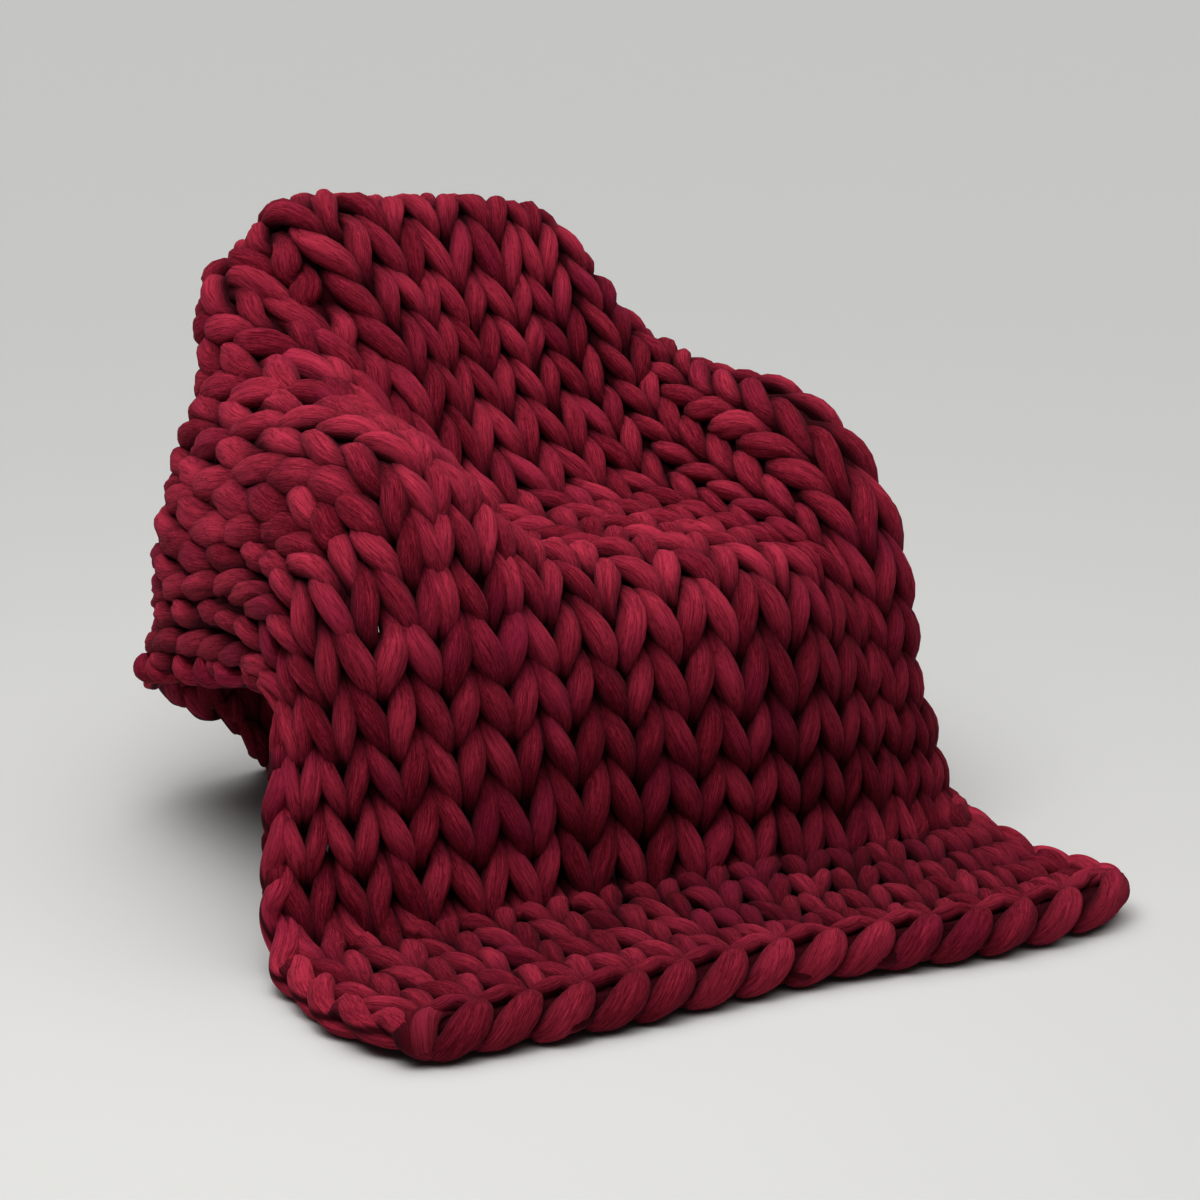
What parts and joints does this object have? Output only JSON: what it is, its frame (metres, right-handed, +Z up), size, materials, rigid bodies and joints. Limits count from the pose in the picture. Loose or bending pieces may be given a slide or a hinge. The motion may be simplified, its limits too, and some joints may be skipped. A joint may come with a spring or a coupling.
{
  "type": "chunky knit blanket",
  "caption": "Thick hand-knitted wool blanket with a chain-edged hem, draped in the shape of an armchair; lies and stands on the floor.",
  "frame": {"origin": "centre of the footprint's bounding box, on the floor", "axes": "+Z up, -Y towards the front hem, +X to the right seen from the front"},
  "size_m": [1.0136, 1.1384, 0.8411],
  "materials": {
    "wool": "matte, slightly fuzzy wool roving, deep burgundy"
  },
  "bodies": {
    "root": {"blanket": "wool"}
  },
  "joints": []
}
